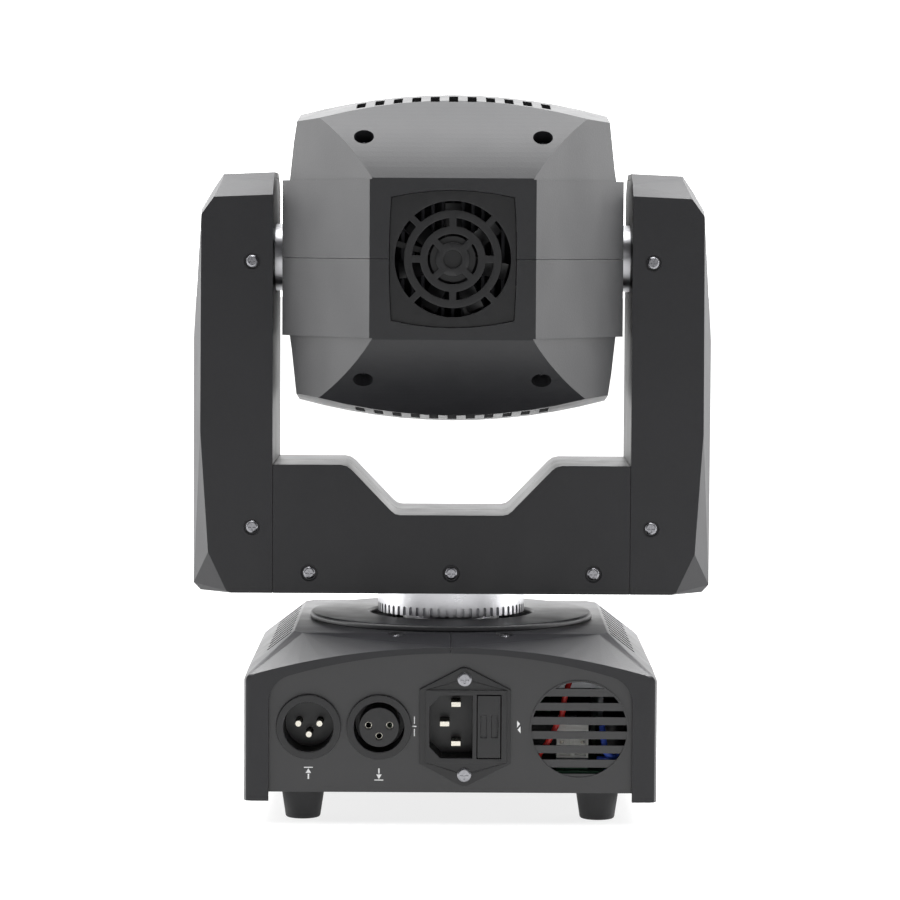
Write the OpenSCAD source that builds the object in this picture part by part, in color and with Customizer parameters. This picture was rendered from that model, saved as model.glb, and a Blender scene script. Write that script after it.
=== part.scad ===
// Moving head light: a mains-fed base, a yoke that pans on it and a head that tilts in the yoke.
// Millimetres. Origin on the floor under the pan axis, +Z up, +Y to the side that the beam leaves.
// X is to the right for someone who looks at the connector panel.

/* [Base] */
// Width of the base over its side walls
base_w = 172; // [168:1:180]
// Depth of the base, front to back
base_d = 166; // [160:1:176]
// Height of the flat top of the base above the floor
plateau_z = 78; // [76:0.5:82]
// Height of the rubber feet that shows below the housing
foot_h = 9.5; // [8:0.5:10]
// Wall thickness of the moulded housings
wall = 2.4; // [2:0.1:2.6]

/* [Connector panel] */
// Height of the connectors' centre line
connector_z = 40.4; // [39:0.1:42]
// Position of the signal input socket across the panel
signal_in_x = -59.1; // [-60:0.1:-58]
// Position of the signal output socket across the panel
signal_out_x = -29.7; // [-31:0.1:-29]
// Position of the mains inlet's screws across the panel
inlet_x = 5.8; // [5:0.1:8]
// Position of the round vent across the panel
vent_x = 53.7; // [52:0.1:54]
// Height of the vent's middle
vent_z = 39.7; // [39:0.1:41]
// Radius of the round vent
vent_r = 20.6; // [18:0.1:21]

/* [Yoke] */
// Half the gap between the arms
arm_gap = 76.8; // [76:0.1:78]
// Half the width over the arms
yoke_half_w = 111.5; // [109:0.5:114]
// Half the depth of the yoke
yoke_half_d = 33; // [32:0.5:35]
// Height of the crossbar's underside
crossbar_z = 91.2; // [90:0.1:93]
// Height of the crossbar's top beside the arms
crossbar_top = 146.5; // [145:0.5:148]
// Height of the notch floor in the crossbar
notch_z = 125; // [122:0.5:127]
// Height of the arms' top
arm_top = 271.8; // [270:0.1:276]

/* [Head] */
// Height of the tilt axis
tilt_z = 235; // [234:0.5:238]
// Half the width of the head over its side bands
head_half_w = 73; // [72:0.5:74]
// Distance from the tilt axis to the flat back of the head
head_rear = 72; // [70:0.5:73]
// Distance from the tilt axis to the front of the housing
head_front = 48; // [46:0.5:50]
// Half the side of the flat square at the back of the head
back_half = 33.6; // [32:0.1:35]
// Half the height of the side bands
band_half = 33; // [31:0.5:33]
// Radius of the round front bezel
bezel_r = 73; // [70:0.5:73]
// Distance from the tilt axis to the front of the bezel
bezel_front = 66; // [62:0.5:66]

/* [Hidden] */

$fn = 64;
cover_screw_at = [22.5, 66];      // screws of the base covers beside the trim ring
post_r = 4.6;          // radius of the posts under them
clamp_x = 53;          // holes for a clamp's fasteners in the base plate
clamp_r = 6;
safety_y = 56;         // hole for a safety cable
safety_r = 5;
seam = 0.1;            // half the gap between two covers that meet
eps = 0.01;            // thickness of a hull's slabs
far = 300;             // longer than any piece

base_x = base_w / 2;
base_y = base_d / 2;
cover_z = foot_h;      // lower edge of the base covers
panel_in = base_y - wall - 0.1;   // outer face of the front and rear panels
panel_t = 1.2;         // sheet thickness of the rear panel
lip_z = 13;            // underside of the rear panel's folded lip
plate_z = lip_z + panel_t;        // underside of the base plate
plate_t = 1.5;
panel_half = 75.7;     // half-width of the openings for the panels
panel_apex = 71.6;     // their height at the middle
collar_r = 32;
ring_hole_r = 35.5;
ring_r = 61.7;
ring_top = plateau_z + 2.6;

bridge_z = 50;         // underside of the bearing plate
bridge_t = 3;
bridge_x = 66;
bridge_y = [-26, 56];
spindle_r = 17;
ball_r = 2.5;
race_r = 20;           // radius of the ball circle
bearing_z = bridge_z + 1.5;       // centre of the ball circle
pan_belt_z = 58;       // lower edge of the pan belt
belt_w = 6;
belt_t = 1.4;
belt_gap = 0.3;        // clearance of a belt on its pulleys
small_pulley_r = 8;
pan_pulley_r = 30;
tilt_pulley_r = 24;
pan_motor_at = [-38, 40];
motor_side = 42;

screw_r = 1.4;         // shank radius of the small screws
hole_r = 1.45;

frame_z = crossbar_z + wall + 0.2;  // underside of the yoke frame
frame_t = 2.5;
upright_x = 88;        // inner face of the yoke frame's uprights
tilt_motor_z = frame_z + frame_t + 24.7;
tilt_belt_x = 94.5;    // inner edge of the tilt belt
axle_r = 6;
hub_r = 14.5;
arm_screws_z = [119.7, 233.5];
arm_screw_x = 85.6;
crossbar_screws_x = [-61, 0, 61];
crossbar_screw_z = 100;

wheel_x = 28;          // offset of the colour and gobo wheels' axles from the beam
wheel_r = 34;
wheel_plate_y = -9;    // rear face of the plate that carries the wheels
well_at = [37.5, -56.2, 49.8];    // head screw wells, from the tilt axis
well_tilt = 48;        // slope of the wells above level

function arc(cx, cy, r, a0, a1, n) =
  [for (i = [0:n]) let (a = a0 + (a1 - a0) * i / n) [cx + r * cos(a), cy + r * sin(a)]];

// Points along a shallow arc from p to q that swells by sag to the left of the way from p to q
function swell(p, q, sag, n) =
  let (d = q - p, l = norm(d), side = [-d[1], d[0]] / l)
  [for (i = [0:n]) let (u = i / n) p + d * u + side * sag * 4 * u * (1 - u)];

// Straight sides, rounded upper corners and a shallow arch over them
function arched(half_w, apex, arch_r, corner_r, bottom) =
  let (cz = apex - arch_r, kx = half_w - corner_r,
       kz = cz + sqrt(pow(arch_r - corner_r, 2) - kx * kx), a = atan2(kz - cz, kx))
  concat([[-half_w, bottom], [half_w, bottom]], arc(kx, kz, corner_r, 0, a, 6),
         arc(0, cz, arch_r, a, 180 - a, 18), arc(-kx, kz, corner_r, 180 - a, 180, 6));

// 2D shapes are drawn as (x, z) and extruded along Y, or as (y, z) and extruded along X
module along_y(y0, y1) translate([0, y1, 0]) rotate([90, 0, 0]) linear_extrude(y1 - y0) children();
module along_x(x0, x1) translate([x0, 0, 0]) rotate([90, 0, 90]) linear_extrude(x1 - x0) children();
module slab_y(y) along_y(y - eps, y + eps) children();

// Range of half-width h round c
function around(c, h) = [c - h, c + h];
module box(x, y, z) translate([x[0], y[0], z[0]]) cube([x[1] - x[0], y[1] - y[0], z[1] - z[0]]);
module both_x() for (s = [0, 1]) mirror([s, 0, 0]) children();
module both_y() for (s = [0, 1]) mirror([0, s, 0]) children();
module at_tilt() translate([0, 0, tilt_z]) children();
module disc_y(x, z, r, y0, y1) along_y(y0, y1) translate([x, z]) circle(r);
module disc_x(y, z, r, x0, x1) along_x(x0, x1) translate([y, z]) circle(r);
module tube_y(x, z, r, bore, y0, y1) along_y(y0, y1) translate([x, z]) difference() {
  circle(r);
  circle(bore);
}

// Cross-head screw: the head stands on z = 0 and the shank goes down
module screw(head_r, shank_l, head_h = 1.8) {
  difference() {
    union() {
      cylinder(r = head_r, h = head_h * 0.6);
      translate([0, 0, head_h * 0.6]) cylinder(r1 = head_r, r2 = head_r * 0.7, h = head_h * 0.4);
    }
    for (a = [0, 90]) rotate([0, 0, a])
      translate([-head_r * 0.62, -0.35, head_h * 0.35]) cube([head_r * 1.24, 0.7, head_h]);
  }
  translate([0, 0, -shank_l]) cylinder(r = screw_r, h = shank_l);
}

// Square stepper motor: its face lies on z = 0, the body below it and the shaft above
module stepper(body_l, shaft_l) {
  translate([-motor_side / 2, -motor_side / 2, -body_l]) difference() {
    cube([motor_side, motor_side, body_l]);
    for (x = [0, motor_side], y = [0, motor_side]) translate([x, y, -1])
      rotate([0, 0, 45]) cube([6, 6, 4 * body_l], center = true);
  }
  cylinder(r = 11, h = 1.4);
  cylinder(r = 2.5, h = shaft_l);
}

// Toothed pulley with two flanges on z = 0 to belt_w + 3, cored for its shaft
module pulley(r, bore, teeth) difference() {
  union() {
    cylinder(r = r, h = belt_w + 3);
    for (z = [0, belt_w + 2]) translate([0, 0, z]) cylinder(r = r + 2, h = 1);
  }
  translate([0, 0, -1]) cylinder(r = bore, h = belt_w + 5);
  for (i = [0:teeth - 1]) rotate([0, 0, 360 * i / teeth])
    translate([r - 0.5, -0.45, 1.2]) cube([1, 0.9, belt_w + 0.6]);
}

// Closed belt round two pulleys, from z = 0 to belt_w
module belt(r1, r2, to) linear_extrude(belt_w) difference() {
  hull() {
    circle(r1 + belt_gap + belt_t);
    translate(to) circle(r2 + belt_gap + belt_t);
  }
  hull() {
    circle(r1 + belt_gap);
    translate(to) circle(r2 + belt_gap);
  }
}

// ---------------------------------------------------------------- base

// Solid shape of the base housing, drawn in by t all round
module base_form(t, bottom) hull() both_y() {
  for (e = [[0, 3], [0.9, 0.9], [3, 0]])
    slab_y(base_y - t - e[0]) polygon(arched(base_x - t - e[1], 74.6 - t - e[1] * 0.2, 300, 3, bottom));
  slab_y(base_y - 23) both_x_2d() polygon([
    [0, bottom], [base_x - t, bottom], [base_x - 1 - t, 63.3 - 0.49 * t],
    [base_x - 20 - 0.34 * t, plateau_z - t], [0, plateau_z - t]]);
  slab_y(base_y - 17 - 0.34 * t) translate([-62, plateau_z - t - 2]) square([124, 2]);
}

module both_x_2d() for (s = [0, 1]) mirror([s, 0]) children();

// The openings leave the arched rims and side jambs of the housing
module panel_opening() polygon(arched(panel_half, panel_apex, 240, 12, 0));

// Long slots down the side slopes
louvre_pitch = 11.5;
louvre_slope = 37.7;
module louvre_slots() both_x() for (i = [0:9])
  translate([72.8, louvre_pitch * (i - 4.5), 72.7]) rotate([0, louvre_slope, 0])
    cube([13, 4.4, 9], center = true);

module base_covers() difference() {
  union() {
    difference() {
      base_form(0, cover_z);
      base_form(wall, cover_z - 5);
    }
    cover_screws(plateau_z - 9) cylinder(r = post_r, h = 8);
  }
  along_y(-far, far) panel_opening();
  translate([0, 0, plateau_z - 5]) cylinder(r = ring_hole_r, h = 10);
  louvre_slots();
  cover_screws(plateau_z - 2.4) cylinder(r = 3.9, h = 10);
  cover_screws(0) cylinder(r = hole_r, h = far);
}

module cover_screws(z) both_x() both_y()
  translate([cover_screw_at[0], cover_screw_at[1], z]) children();

module base_cover_left() color([0.16, 0.16, 0.17]) intersection() {
  base_covers();
  box([-far, -seam], [-far, far], [0, far]);
}

module base_cover_right() color([0.16, 0.16, 0.17]) intersection() {
  base_covers();
  box([seam, far], [-far, far], [0, far]);
}

feet_at = [62, 64];
plate_x = base_x - wall - 0.4;    // half the width of the base plate
plate_front = panel_in - 1.7;     // its edge behind the front panel

module base_plate() color([0.1, 0.1, 0.1]) difference() {
  union() {
    box([-plate_x, plate_x], [-panel_in + panel_t, plate_front], [plate_z, plate_z + plate_t]);
    both_x() box([plate_x - plate_t, plate_x], [-60, 60], [plate_z, 26]);
  }
  both_x() both_y() translate([feet_at[0], feet_at[1], 0]) cylinder(r = hole_r, h = 30);
  both_x() translate([clamp_x, 0, 0]) cylinder(r = clamp_r, h = 30);
  translate([0, safety_y, 0]) cylinder(r = safety_r, h = 30);
}

module rubber_feet() color([0.05, 0.05, 0.05]) both_x() both_y()
  translate([feet_at[0], feet_at[1], 0]) difference() {
    cylinder(r1 = 7.25, r2 = 9.4, h = plate_z);
    cylinder(r = hole_r, h = 30);
    translate([0, 0, -1]) cylinder(r = 4, h = 5);
  }

vent_pitch = 5.95;
vent_slot_h = 2.7;

vent_reach = 19.9;     // radius within which the slots end

module vent_slots() intersection() {
  disc_y(vent_x, vent_z, vent_reach, -far, -panel_in + 3);
  for (i = [-3:3])
    box(around(vent_x, vent_r), [-far, -panel_in + 3], around(vent_z + vent_pitch * i + 0.6, vent_slot_h / 2));
}

inlet_screws_z = [connector_z - 19.7, connector_z + 20.3];
inlet_body_x = [-10.4, 23.4];
inlet_body_z = [25.7, 56.2];

module rear_panel() color([0.06, 0.06, 0.06]) difference() {
  union() {
    along_y(-panel_in, -panel_in + panel_t) polygon(arched(78, 71.9, 250, 12, lip_z));
    box([-77.8, 77.8], [-panel_in + 0.5, -panel_in + 6], [lip_z, lip_z + panel_t]);
    tube_y(vent_x, vent_z, vent_r, vent_reach + 0.1, -panel_in - 0.6, -panel_in + 0.5);
  }
  vent_slots();
  for (x = [signal_in_x, signal_out_x]) disc_y(x, connector_z, 12, -far, -panel_in + 3);
  box(inlet_body_x + [-0.1, 0.1], [-far, -panel_in + 3], inlet_body_z + [-0.1, 0.1]);
  for (z = inlet_screws_z) disc_y(inlet_x, z, hole_r, -far, -panel_in + 3);
}

window_z = [37, 57];
buttons_x = [-27, -9, 9, 27];
buttons_z = 26;
button_r = 4;

module front_panel() color([0.08, 0.08, 0.09]) difference() {
  along_y(panel_in - 2, panel_in) polygon(arched(78, 71.9, 250, 12, plate_z + plate_t + 0.1));
  along_y(0, far) {
    translate([-30, window_z[0]]) square([60, window_z[1] - window_z[0]]);
    for (x = buttons_x) translate([x, buttons_z]) circle(button_r + 0.3);
  }
}

module display_window() color([0.2, 0.25, 0.3]) {
  box([-29.9, 29.9], [panel_in - 2, panel_in], window_z + [0.1, -0.1]);
  box([-32, 32], [panel_in - 3.5, panel_in - 2], window_z + [-2, 2]);
}

module menu_button(n) color([0.3, 0.3, 0.32]) translate([buttons_x[n - 1], 0, 0]) {
  disc_y(0, buttons_z, button_r, panel_in - 4.6, panel_in + 1.6);
  disc_y(0, buttons_z, button_r + 1.5, panel_in - 4.6, panel_in - 3.4);
}

module control_board() color([0.05, 0.25, 0.1]) {
  difference() {
    box([-46, 46], [panel_in - 12, panel_in - 10.4], [20, 62]);
    for (x = [-42, 42], z = [24, 58]) disc_y(x, z, hole_r, 0, far);
  }
  box([-31, 31], [panel_in - 10.4, panel_in - 3.6], window_z + [-1, 1]);
  for (x = buttons_x) box([x - 3, x + 3], [panel_in - 10.4, panel_in - 6.2], [buttons_z - 3, buttons_z + 3]);
  box([-40, -20], [panel_in - 18, panel_in - 12], [44, 52]);
  box([10, 30], [panel_in - 15, panel_in - 12], [32, 52]);
}

module pan_trim_ring() color([0.1, 0.1, 0.1]) rotate_extrude($fn = 96) polygon([
  [ring_hole_r, plateau_z], [ring_r, plateau_z], [ring_r, ring_top - 0.8], [ring_r - 0.8, ring_top],
  [ring_hole_r + 0.8, ring_top], [ring_hole_r, ring_top - 0.8]]);

module bearing_plate() color([0.7, 0.71, 0.72]) difference() {
  union() {
    box([-bridge_x, bridge_x], bridge_y, [bridge_z, bridge_z + bridge_t]);
    both_x() box([bridge_x - 2, bridge_x], bridge_y, [plate_z + plate_t, bridge_z + 1]);
    both_x() box([bridge_x - 2, bridge_x + 8], bridge_y, [plate_z + plate_t, plate_z + plate_t + 2]);
  }
  cylinder(r = race_r + 7, h = far);
  translate([pan_motor_at[0], pan_motor_at[1], 0]) cylinder(r = 11.2, h = far);
}

module pan_bearing_outer() color([0.6, 0.6, 0.62]) difference() {
  union() {
    translate([0, 0, bearing_z - 5]) cylinder(r = race_r + 6.9, h = 10);
    translate([0, 0, bridge_z + bridge_t]) cylinder(r = race_r + 9, h = bearing_z + 5 - bridge_z - bridge_t);
  }
  translate([0, 0, bearing_z - 6]) cylinder(r = race_r + 1, h = 12);
  translate([0, 0, bearing_z]) rotate_extrude() translate([race_r, 0]) circle(ball_r + 0.05);
}

module pan_bearing_balls() color([0.8, 0.8, 0.8]) for (i = [0:17])
  rotate([0, 0, 20 * i]) translate([race_r, 0, bearing_z]) sphere(ball_r);

module pan_motor() color([0.15, 0.15, 0.16])
  translate([pan_motor_at[0], pan_motor_at[1], bridge_z]) stepper(33, 19);

module pan_motor_pulley() color([0.75, 0.75, 0.75])
  translate([pan_motor_at[0], pan_motor_at[1], pan_belt_z - 1.5]) pulley(small_pulley_r, 2.55, 16);

module pan_belt() color([0.05, 0.05, 0.05]) translate([0, 0, pan_belt_z])
  belt(pan_pulley_r, small_pulley_r, pan_motor_at);

module pan_pulley() color([0.75, 0.75, 0.75])
  translate([0, 0, pan_belt_z - 1.5]) pulley(pan_pulley_r, spindle_r, 60);

// Mains power board behind the vent, with its connector block, coil and capacitors
board_z = 20;
module power_board() color([0.35, 0.25, 0.1]) {
  box([28, 78], [-76, -32], [board_z, board_z + 1.6]);
  both_ends(33, 73) both_ends_y(-72, -36) translate([0, 0, plate_z + plate_t])
    cylinder(r = 2.5, h = board_z - plate_z - plate_t);
  box([44.5, 57.8], [-71, -61], [board_z + 1.6, vent_z + 2]);
  translate([68, -64, board_z + 1.6]) cylinder(r = 6, h = 20);
  box([34, 54], [-54, -38], [board_z + 1.6, board_z + 20]);
  translate([68, -44, board_z + 1.6]) cylinder(r = 6, h = 16);
}

module both_ends(a, b) for (x = [a, b]) translate([x, 0, 0]) children();
module both_ends_y(a, b) for (y = [a, b]) translate([0, y, 0]) children();

// ---------------------------------------------------------------- connectors

socket_r = 13.5;
socket_face = -panel_in - 1.8;
socket_floor = -66;
contacts = [[-4.4, 0.7], [4.4, 0.7], [0, -3.8]];

module socket_shell(x, mouth_r) difference() {
  union() {
    disc_y(x, connector_z, socket_r, socket_face, -panel_in);
    disc_y(x, connector_z, 11.9, -panel_in, socket_floor + 4);
  }
  disc_y(x, connector_z, mouth_r, -far, socket_floor);
  for (c = contacts) disc_y(x + c[0], connector_z + c[1], 1.25, -far, 0);
}

module signal_in_socket() color([0.1, 0.1, 0.1]) socket_shell(signal_in_x, 10.4);
module signal_out_socket() color([0.1, 0.1, 0.1]) socket_shell(signal_out_x, 10.5);

module signal_out_insert() color([0.08, 0.08, 0.08]) difference() {
  disc_y(signal_out_x, connector_z, 8.35, socket_face + 0.6, socket_floor);
  for (c = contacts) disc_y(signal_out_x + c[0], connector_z + c[1], 1.45, -far, 0);
}

inlet_floor = -66;
inlet_flange_t = 1.4;
flange_x = [-12.9, 25];
flange_z = [25.3, 56.3];
inlet_cavity_x = [-8.7, 9.2];
inlet_cavity_z = [27.7, 54.1];
drawer_x = [11.2, 20.9];
blades = [[2.3, 49.6], [-2.4, 41.4], [2.3, 33.2]];

// Round contacts of the signal input, sockets of the output and flat blades of the mains inlet
module contact_pins() color([0.8, 0.75, 0.6]) {
  for (c = contacts) disc_y(signal_in_x + c[0], connector_z + c[1], 1.2, -77, socket_floor + 10);
  for (c = contacts) tube_y(signal_out_x + c[0], connector_z + c[1], 1.4, 1.2, -80, socket_floor - 0.1);
  for (b = blades) box([b[0] - 1.9, b[0] + 1.9], [-78, inlet_floor + 12], [b[1] - 0.95, b[1] + 0.95]);
}

// The flange is a rounded bar with ears at the two screws
module inlet_flange() hull() {
  translate([flange_x[0], flange_z[0]])
    square([flange_x[1] - flange_x[0], flange_z[1] - flange_z[0]]);
  for (z = inlet_screws_z) translate([inlet_x, z]) circle(4.8, $fn = 32);
}

module chamfered_cavity() polygon([
  [inlet_cavity_x[0] + 4.8, inlet_cavity_z[0]], [inlet_cavity_x[1], inlet_cavity_z[0]],
  [inlet_cavity_x[1], inlet_cavity_z[1]], [inlet_cavity_x[0] + 4.8, inlet_cavity_z[1]],
  [inlet_cavity_x[0], inlet_cavity_z[1] - 4.8], [inlet_cavity_x[0], inlet_cavity_z[0] + 4.8]]);

module power_inlet() color([0.12, 0.12, 0.13]) difference() {
  union() {
    along_y(-panel_in - inlet_flange_t, -panel_in) inlet_flange();
    box(inlet_body_x, [-base_y, inlet_floor + 5], inlet_body_z);
  }
  along_y(-far, inlet_floor) chamfered_cavity();
  box(drawer_x + [-0.3, 0.3], [-far, inlet_floor], [27.5, 54.4]);
  for (b = blades) box([b[0] - 1.95, b[0] + 1.95], [-70, 0], [b[1] - 1, b[1] + 1]);
  for (z = inlet_screws_z) disc_y(inlet_x, z, hole_r, -far, 0);
}

drawer_front = -base_y + 0.2;
module fuse_drawer() color([0.12, 0.12, 0.13]) difference() {
  box(drawer_x, [drawer_front, inlet_floor - 0.3], [27.8, 54.1]);
  box(drawer_x + [1.6, -1.6], [-79, 0], [30, 52]);
  for (s = [-1, 1]) translate([sum2(drawer_x) / 2 + s * 2.2, 0, 41])
    box([-1.2, 1.2], [-far, drawer_front + 0.7], [-4.6, 4.6]);
}

module fuse_links() color([0.8, 0.8, 0.8]) for (y = [-76, -70])
  translate([sum2(drawer_x) / 2, y, 30.3]) cylinder(r = 2.5, h = 21.4);

function sum2(v) = v[0] + v[1];

module base_screws() color([0.75, 0.75, 0.75]) {
  for (z = inlet_screws_z) translate([inlet_x, -panel_in - inlet_flange_t, z]) rotate([90, 0, 0]) screw(2.9, 8, 1.0);
  cover_screws(plateau_z - 2.4) screw(3, 6);
  both_x() both_y() translate([feet_at[0], feet_at[1], 4]) mirror([0, 0, 1]) screw(3, 11.5);
}

// ---------------------------------------------------------------- yoke

collar_slots = 60;

module pan_spindle() color([0.82, 0.82, 0.84]) difference() {
  union() {
    translate([0, 0, bearing_z - 7]) cylinder(r = spindle_r, h = frame_z - bearing_z + 7);
    translate([0, 0, pan_belt_z + belt_w + 2]) cylinder(r = spindle_r + 4, h = 12);
    translate([0, 0, ring_top + 0.3]) cylinder(r = collar_r, h = crossbar_z - ring_top - 0.3);
    translate([0, 0, bearing_z - 5]) cylinder(r = race_r - 1, h = pan_belt_z - 1.5 - bearing_z + 5);
  }
  translate([0, 0, 20]) cylinder(r = 10, h = far);
  translate([0, 0, bearing_z]) rotate_extrude() translate([race_r, 0]) circle(ball_r + 0.05);
  for (i = [0:collar_slots - 1]) rotate([0, 0, 360 / collar_slots * (i + 0.5)]) along_x(collar_r - 2, far) {
    translate([-0.75, 75]) square([1.5, 84 - 75]);
    translate([0, 84]) circle(0.75);
  }
}

module yoke_frame() color([0.55, 0.56, 0.58]) difference() {
  union() {
    box([-upright_x - frame_t, upright_x + frame_t], [-22, 22], [frame_z, frame_z + frame_t]);
    both_x() box([upright_x, upright_x + frame_t], [-22, 22], [frame_z, arm_top - 11.5]);
    both_x() both_y() for (z = arm_screws_z)
      box([arm_screw_x - 4, upright_x + frame_t], [21, yoke_half_d - wall - 0.1], [z - 4, z + 4]);
    both_y() for (x = crossbar_screws_x)
      box([x - 4, x + 4], [21, yoke_half_d - wall - 0.1], [frame_z, crossbar_screw_z + 4]);
  }
  cylinder(r = 10, h = far);
  both_x() disc_x(0, tilt_z, 11.05, 50, far);
  disc_x(0, tilt_motor_z, 11.2, 50, far);
  both_x() both_y() for (z = arm_screws_z) disc_y(arm_screw_x, z, hole_r, 0, far);
  both_y() for (x = crossbar_screws_x) disc_y(x, crossbar_screw_z, hole_r, 21, far);
}

// Right half of an outline, and its mirror image after it
function mirrored(half) = concat(half, [for (i = [len(half) - 1:-1:0]) [-half[i][0], half[i][1]]]);

module crossbar_outline() polygon(mirrored([
  [arm_gap - 0.1, crossbar_z], [arm_gap - 0.1, crossbar_top], [47.5, crossbar_top],
  [45, crossbar_top - 0.6], [43, crossbar_top - 2], [26, notch_z + 1.9], [24.2, notch_z + 0.5],
  [22, notch_z]]));

module crossbar_shell() difference() {
  along_y(-yoke_half_d, yoke_half_d) crossbar_outline();
  along_y(-yoke_half_d + wall, yoke_half_d - wall) union() {
    offset(delta = -wall) crossbar_outline();
    both_x_2d() translate([arm_gap - wall - 1, crossbar_z + wall])
      square([wall + 2, crossbar_top - crossbar_z - 2 * wall]);
  }
  translate([0, 0, crossbar_z - 1]) cylinder(r = spindle_r + 0.1, h = 10);
  both_y() for (x = crossbar_screws_x) {
    disc_y(x, crossbar_screw_z, hole_r, 0, far);
    disc_y(x, crossbar_screw_z, 3.5, yoke_half_d - 1, far);
  }
}

module crossbar_cover_rear() color([0.09, 0.09, 0.1]) intersection() {
  crossbar_shell();
  box([-far, far], [-far, -seam], [0, far]);
}

module crossbar_cover_front() color([0.09, 0.09, 0.1]) intersection() {
  crossbar_shell();
  box([-far, far], [seam, far], [0, far]);
}

// Outline of an arm at its flat rear or front face, and at the middle of its depth
module arm_face(t, top) polygon([
  [arm_gap - 1, crossbar_z + t], [94.5 - 0.3 * t, crossbar_z + t], [96.5 - 0.7 * t, 92 + 0.6 * t],
  [104.4 - t, 108.7], [107.8 - t, 161], [107.4 - t, arm_top - 18.5 - 0.3 * t],
  [102 - t, min(arm_top - 11, top) - 0.8 * t], [arm_gap - 1, top - t]]);

module arm_middle(t, top) polygon([
  [arm_gap - 1, crossbar_z + t], [108.5 - t, crossbar_z + t], [yoke_half_w - t, 94.4 + 0.5 * t],
  [yoke_half_w - t, 200], [108.2 - t, arm_top - 16.2], [103 - t, arm_top - 7.5], [99 - 0.7 * t, top - 1 - t],
  [arm_gap - 1, top - t]]);

module arm_form(t) hull() both_y() {
  slab_y(yoke_half_d - t) arm_face(t, arm_top - 9.9);
  slab_y(yoke_half_d - 7 - 0.6 * t) arm_face(t, arm_top - 4.2);
  slab_y(20 - 0.3 * t) arm_middle(t, arm_top - 2.1);
  slab_y(15 - 0.3 * t) arm_middle(t, arm_top);
}

// Cover of the right arm, open towards the head
module arm_cover() difference() {
  intersection() {
    arm_form(0);
    box([arm_gap, far], [-far, far], [0, far]);
  }
  arm_form(wall);
  both_y() for (z = arm_screws_z) {
    disc_y(arm_screw_x, z, hole_r, 0, far);
    disc_y(arm_screw_x, z, 3.5, yoke_half_d - 1, far);
  }
}

// Lid that closes the right arm towards the head, with the axle's hole and the crossbar's passage
module arm_inner() difference() {
  intersection() {
    arm_form(wall + 0.15);
    box([arm_gap, arm_gap + wall], [-far, far], [0, far]);
  }
  disc_x(0, tilt_z, hub_r + 0.7, 50, far);
  box([50, far], [-26, 26], [frame_z - eps, 143]);
}

module arm_cover_right() color([0.09, 0.09, 0.1]) arm_cover();
module arm_cover_left() color([0.09, 0.09, 0.1]) mirror([1, 0, 0]) arm_cover();
module arm_inner_right() color([0.09, 0.09, 0.1]) arm_inner();
module arm_inner_left() color([0.09, 0.09, 0.1]) mirror([1, 0, 0]) arm_inner();

module tilt_bearings() color([0.7, 0.7, 0.72]) both_x() difference() {
  union() {
    disc_x(0, tilt_z, 11, upright_x - 2, upright_x + 4);
    disc_x(0, tilt_z, 13, upright_x - 3.5, upright_x);
  }
  disc_x(0, tilt_z, axle_r + 0.05, 50, far);
}

module tilt_motor() color([0.15, 0.15, 0.16])
  translate([upright_x, 0, tilt_motor_z]) rotate([0, 90, 0]) stepper(35, 16);

module tilt_motor_pulley() color([0.75, 0.75, 0.75])
  translate([tilt_belt_x - 1.5, 0, tilt_motor_z]) rotate([0, 90, 0]) pulley(small_pulley_r, 2.55, 16);

module tilt_belt() color([0.05, 0.05, 0.05]) translate([tilt_belt_x, 0, tilt_z])
  rotate([0, 90, 0]) belt(tilt_pulley_r, small_pulley_r, [tilt_z - tilt_motor_z, 0]);

module yoke_screws() color([0.78, 0.78, 0.8]) {
  both_y() for (x = crossbar_screws_x)
    translate([x, yoke_half_d - 1, crossbar_screw_z]) rotate([-90, 0, 0]) screw(2.6, 8, 1.4);
  both_x() both_y() for (z = arm_screws_z)
    translate([arm_screw_x, yoke_half_d - 1, z]) rotate([-90, 0, 0]) screw(2.6, 8, 1.4);
}

// ---------------------------------------------------------------- head

// Cross-section of the housing above and below its bands; rise lifts the arch
function head_section(t, rise) =
  let (top = 67 + rise - t, corner = [66.5 - 0.9 * t, 58 + rise - t],
       upper = concat([[70 - t, band_half - 3]], [corner], swell(corner, [0, top], -2.2, 6)))
  concat(upper, [for (i = [len(upper) - 2:-1:0]) [-upper[i][0], upper[i][1]]],
         [for (p = upper) [-p[0], -p[1]]], [for (i = [len(upper) - 2:-1:0]) [upper[i][0], -upper[i][1]]]);

// Skin over a row of like outlines, each [y, points], from back to front
module loft_y(rows) {
  n = len(rows[0][1]);
  last = (len(rows) - 1) * n;
  polyhedron(
    points = [for (row = rows) for (p = row[1]) [p[0], row[0], p[1]]],
    faces = concat([[for (i = [0:n - 1]) n - 1 - i]], [[for (i = [0:n - 1]) last + i]],
      [for (k = [0:len(rows) - 2], i = [0:n - 1]) [k * n + i, k * n + (i + 1) % n, (k + 1) * n + i]],
      [for (k = [0:len(rows) - 2], i = [0:n - 1])
        [k * n + (i + 1) % n, (k + 1) * n + (i + 1) % n, (k + 1) * n + i]]));
}

module arched_body(t) loft_y([for (s = [[-80, -5.4], [-5, 3.7], [15, 3.7], [head_front + 1, -1.5]])
  [s[0], head_section(t, s[1])]]);

// Side view, as (y, z): the flat back, the swelling slopes above and below it, and the front
module side_profile(t) {
  slope = swell([-head_rear + t, back_half - 0.44 * t], [-35 + 0.67 * t, 67 - 0.74 * t], 3, 18);
  polygon(concat(slope, [[-30, 75], [head_front - t, 75], [head_front - t, -75], [-30, -75]],
                 [for (i = [len(slope) - 1:-1:0]) [slope[i][0], -slope[i][1]]]));
}

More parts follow.
